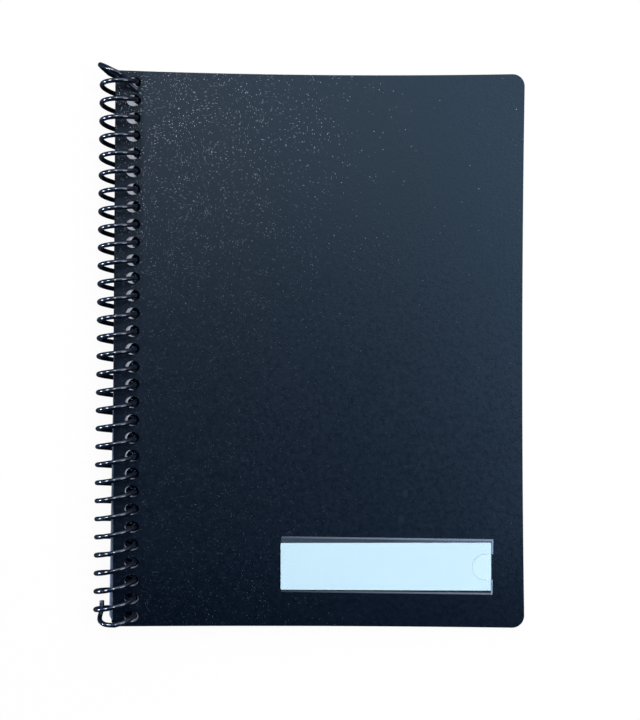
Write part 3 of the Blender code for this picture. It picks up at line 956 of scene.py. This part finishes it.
# places and sizes in metres, power in watts
lamps = {
    "underLamp": {"place": (0.25, -0.35, -0.70), "target": (0.0, 0.0, 0.0), "size": 0.8, "power": 10.0,
                  "only": sheetsOnly, "shadedBy": sheetsOnly},
    "keyLamp": {"place": (0.10, 0.80, 0.95), "target": (0.0, 0.05, 0.0), "size": 1.5, "power": 14.6},
    "foreLamp": {"place": (0.72, 0.01, 0.83), "target": (0.05, 0.0, 0.0), "size": 0.5, "power": 6.8},
    "glintLamp": {"place": (-0.76, 0.24, 0.62), "target": coilSide, "size": 0.22, "power": 9.0,
                  "only": wireOnly},
    "edgeLamp": {"place": (-0.22, 0.40, 0.95), "target": coilSide, "size": 0.14, "power": 4.5,
                 "only": wireOnly},
    "tipLamp": {"place": (-0.90, -0.06, 0.05), "target": coilSide, "size": 0.22, "power": 9.0,
                "only": wireOnly},
}


def paintedShadeUnderCover(tree):
    # 1 on the floor right under the back cover, where the floor is painted dark as shade
    spot = addNode(tree, "SeparateXYZ", {"Vector": addNode(tree, "TexCoord").outputs["Object"]})
    under = 1.0
    for side, (low, high) in zip("XY", zip(*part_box("back_cover"))):
        away = mathNode(tree, "SUBTRACT", spot.outputs[side], (low + high) / 2)
        within = mathNode(tree, "LESS_THAN", mathNode(tree, "ABSOLUTE", away),
                          (high - low) / 2 - studio["paintedShadeMargin"])
        under = mathNode(tree, "MULTIPLY", within, under)
    return under


def makeFloor():
    # white to the camera, dark to the folder, painted dark as shade under the back cover, and see-through from
    # below
    bpy.ops.mesh.primitive_plane_add(size=studio["floorSize"], location=(0, 0, -studio["floorDrop"]))
    floor = bpy.context.object
    floor.name = "floor"
    material = bpy.data.materials.new("paleFloor")
    material.use_nodes = True
    tree = material.node_tree
    tree.nodes.clear()
    out = addNode(tree, "OutputMaterial")
    paint = addNode(tree, "BsdfDiffuse")
    glow = addNode(tree, "Emission", {"Color": (*white, 1.0), "Strength": 1.0})
    rays = addNode(tree, "LightPath")
    seen = mathNode(tree, "MAXIMUM", rays.outputs["Is Camera Ray"], rays.outputs["Is Transmission Ray"])
    under = paintedShadeUnderCover(tree)
    # under the back cover the camera sees painted shade instead of white
    seen = mathNode(tree, "SUBTRACT", seen, under, clamp=True)
    tone = mixColours(tree, under, studio["tableTone"], studio["paintedShadeTone"])
    tree.links.new(mixColours(tree, seen, tone, white), paint.inputs["Color"])
    mix = addNode(tree, "MixShader", {0: mathNode(tree, "MULTIPLY", seen, studio["floorWhite"])})
    tree.links.new(paint.outputs[0], mix.inputs[1])
    tree.links.new(glow.outputs[0], mix.inputs[2])
    below = addNode(tree, "MixShader", {0: addNode(tree, "NewGeometry").outputs["Backfacing"]})
    tree.links.new(mix.outputs[0], below.inputs[1])
    tree.links.new(addNode(tree, "BsdfTransparent").outputs[0], below.inputs[2])
    tree.links.new(below.outputs[0], out.inputs["Surface"])
    floor.data.materials.append(material)


def makeWorld():
    # white to the camera, and a soft sky to the folder
    world = bpy.data.worlds.new("studio")
    bpy.context.scene.world = world
    world.use_nodes = True
    tree = world.node_tree
    tree.nodes.clear()
    out = addNode(tree, "OutputWorld")
    direction = addNode(tree, "TexCoord").outputs["Generated"]
    parts = addNode(tree, "SeparateXYZ", {"Vector": direction})
    toFore, toTop = studio["skySlope"]
    slope = mathNode(tree, "ADD", mathNode(tree, "MULTIPLY", parts.outputs["Y"], toTop),
                     mathNode(tree, "MULTIPLY", parts.outputs["X"], toFore))
    level = mapRange(tree, slope, *studio["skyRun"], *studio["skyLight"], smooth=True)
    sky = addNode(tree, "Background", {"Color": (*studio["skyTint"], 1.0), "Strength": level})
    rays = addNode(tree, "LightPath")
    backdrop = addNode(tree, "Background", {"Color": (*white, 1.0), "Strength": 1.0})
    mix = addNode(tree, "MixShader", {0: rays.outputs["Is Camera Ray"]})
    tree.links.new(sky.outputs[0], mix.inputs[1])
    tree.links.new(backdrop.outputs[0], mix.inputs[2])
    tree.links.new(mix.outputs[0], out.inputs["Surface"])


def makeLamp(name, place, target, size, power, only=None, shadedBy=None):
    lamp = bpy.data.lights.new(name, "AREA")
    lamp.size = size
    lamp.energy = power
    holder = bpy.data.objects.new(name, lamp)
    holder.location = place
    holder.rotation_euler = (Vector(target) - Vector(place)).to_track_quat("-Z", "Y").to_euler()
    holder.visible_camera = False
    bpy.context.scene.collection.objects.link(holder)
    if only:
        holder.light_linking.receiver_collection = only
        holder.light_linking.blocker_collection = shadedBy


def makeCamera():
    camera = bpy.data.cameras.new("camera")
    camera.lens = studio["lens"]
    camera.clip_start = studio["nearest"]
    holder = bpy.data.objects.new("camera", camera)
    holder.location = (*studio["cameraOver"], studio["cameraHeight"])
    holder.rotation_euler = (0, 0, studio["cameraRoll"])
    bpy.context.scene.collection.objects.link(holder)
    bpy.context.scene.camera = holder


makeFloor()
makeWorld()
for lampName, settings in lamps.items():
    makeLamp(lampName, **settings)
makeCamera()
bpy.context.scene.view_settings.view_transform = "Standard"
print("floor, lamps and camera ready")
